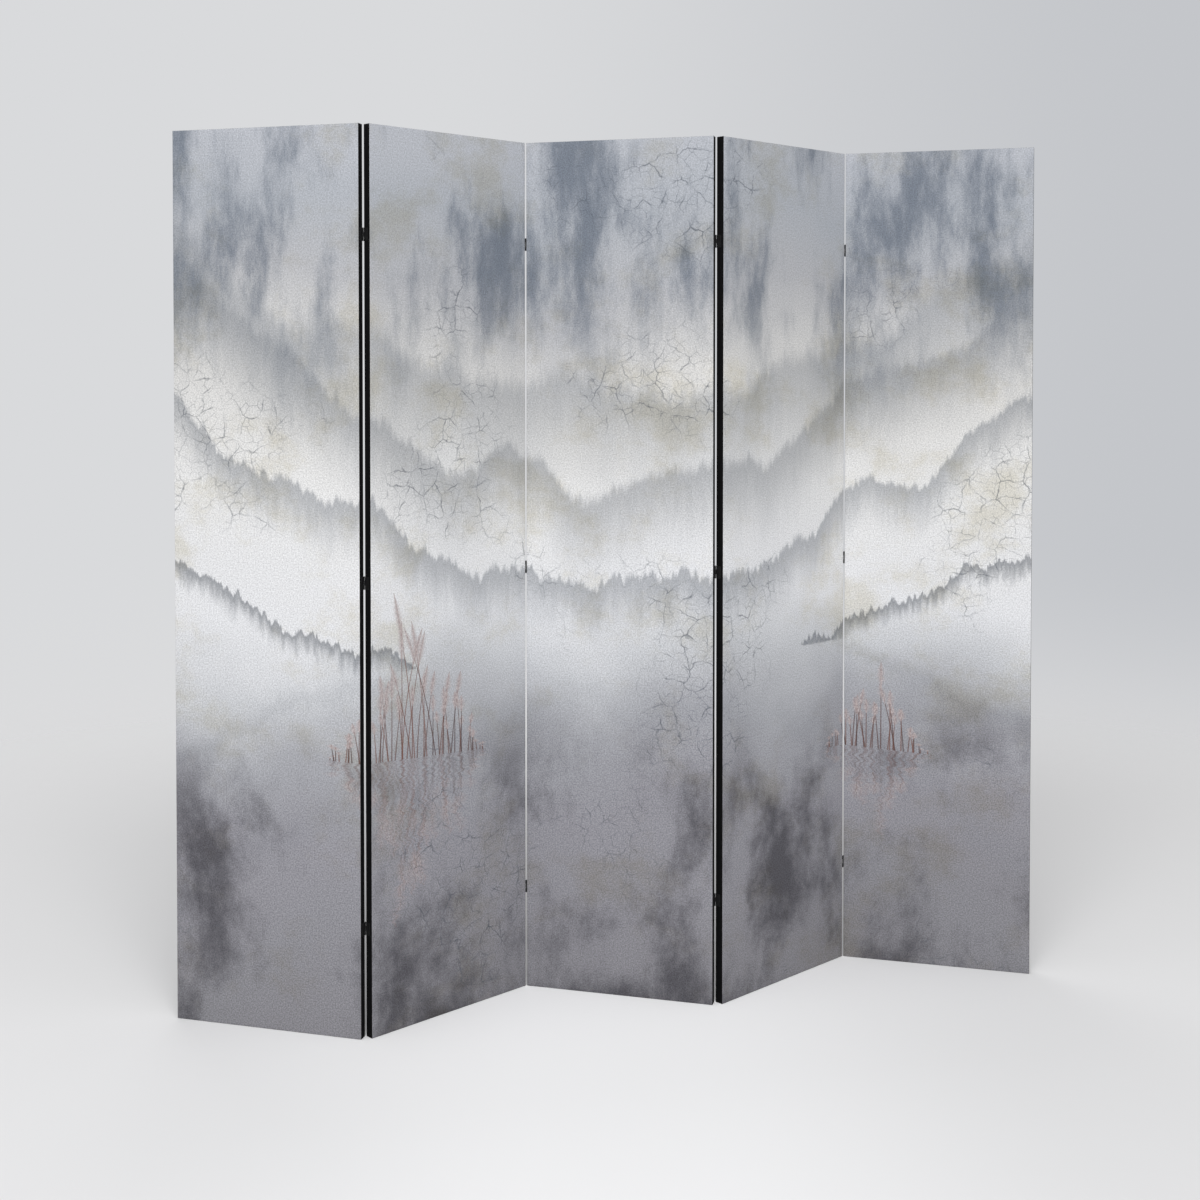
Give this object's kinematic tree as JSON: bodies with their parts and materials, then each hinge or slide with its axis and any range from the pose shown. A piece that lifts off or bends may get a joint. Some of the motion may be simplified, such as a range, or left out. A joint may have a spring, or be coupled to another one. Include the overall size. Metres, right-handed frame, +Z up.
{
  "type": "folding screen",
  "caption": "Free-standing zigzag folding screen of tall, narrow canvas-covered timber panels joined edge to edge by small butt hinges; divides a room and folds flat.",
  "frame": {"origin": "on the floor, under the centre of the middle panel", "axes": "+Z up, +X along the screen to the right as seen from the printed front, +Y towards the back"},
  "size_m": [1.611, 0.1944, 1.6],
  "materials": {
    "printed_canvas": "matt printed cotton canvas, black on the turned edges",
    "black_back_cloth": "plain woven black cloth",
    "pine": "planed, unfinished",
    "staple_wire": "galvanised wire",
    "black_steel": "satin black"
  },
  "bodies": {
    "panel_1": {"panel_1_canvas": "printed_canvas", "panel_1_back_cloth": "black_back_cloth", "panel_1_left_stile": "pine", "panel_1_right_stile": "pine", "panel_1_top_rail": "pine", "panel_1_bottom_rail": "pine", "panel_1_middle_rail": "pine", "panel_1_staples": "staple_wire", "panel_1_hinge_screws": "black_steel", "fold_1_left_leaves": "black_steel", "fold_1_pins": "black_steel"},
    "panel_2": {"panel_2_canvas": "printed_canvas", "panel_2_back_cloth": "black_back_cloth", "panel_2_left_stile": "pine", "panel_2_right_stile": "pine", "panel_2_top_rail": "pine", "panel_2_bottom_rail": "pine", "panel_2_middle_rail": "pine", "panel_2_staples": "staple_wire", "panel_2_hinge_screws": "black_steel", "fold_1_right_leaves": "black_steel", "fold_2_left_leaves": "black_steel", "fold_2_pins": "black_steel"},
    "panel_3": {"panel_3_canvas": "printed_canvas", "panel_3_back_cloth": "black_back_cloth", "panel_3_left_stile": "pine", "panel_3_right_stile": "pine", "panel_3_top_rail": "pine", "panel_3_bottom_rail": "pine", "panel_3_middle_rail": "pine", "panel_3_staples": "staple_wire", "panel_3_hinge_screws": "black_steel", "fold_2_right_leaves": "black_steel", "fold_3_left_leaves": "black_steel", "fold_3_pins": "black_steel"},
    "panel_4": {"panel_4_canvas": "printed_canvas", "panel_4_back_cloth": "black_back_cloth", "panel_4_left_stile": "pine", "panel_4_right_stile": "pine", "panel_4_top_rail": "pine", "panel_4_bottom_rail": "pine", "panel_4_middle_rail": "pine", "panel_4_staples": "staple_wire", "panel_4_hinge_screws": "black_steel", "fold_3_right_leaves": "black_steel", "fold_4_left_leaves": "black_steel", "fold_4_pins": "black_steel"},
    "panel_5": {"panel_5_canvas": "printed_canvas", "panel_5_back_cloth": "black_back_cloth", "panel_5_left_stile": "pine", "panel_5_right_stile": "pine", "panel_5_top_rail": "pine", "panel_5_bottom_rail": "pine", "panel_5_middle_rail": "pine", "panel_5_staples": "staple_wire", "panel_5_hinge_screws": "black_steel", "fold_4_right_leaves": "black_steel"}
  },
  "joints": [
    {"name": "fold_2", "type": "hinge", "parent": "panel_3", "child": "panel_2", "pos_m": [-0.16136, 0.08242, 0.8], "axis": [0, 0, 1], "range_deg": [-60, 120]},
    {"name": "fold_3", "type": "hinge", "parent": "panel_3", "child": "panel_4", "pos_m": [0.16136, -0.08242, 0.8], "axis": [0, 0, 1], "range_deg": [-60, 120]},
    {"name": "fold_1", "type": "hinge", "parent": "panel_2", "child": "panel_1", "pos_m": [-0.48407, -0.08242, 0.8], "axis": [0, 0, -1], "range_deg": [-60, 120]},
    {"name": "fold_4", "type": "hinge", "parent": "panel_4", "child": "panel_5", "pos_m": [0.48407, 0.08242, 0.8], "axis": [0, 0, -1], "range_deg": [-60, 120]}
  ],
  "couplings": [
    {"joint": "fold_3", "follows": "fold_2", "ratio": 1}
  ]
}
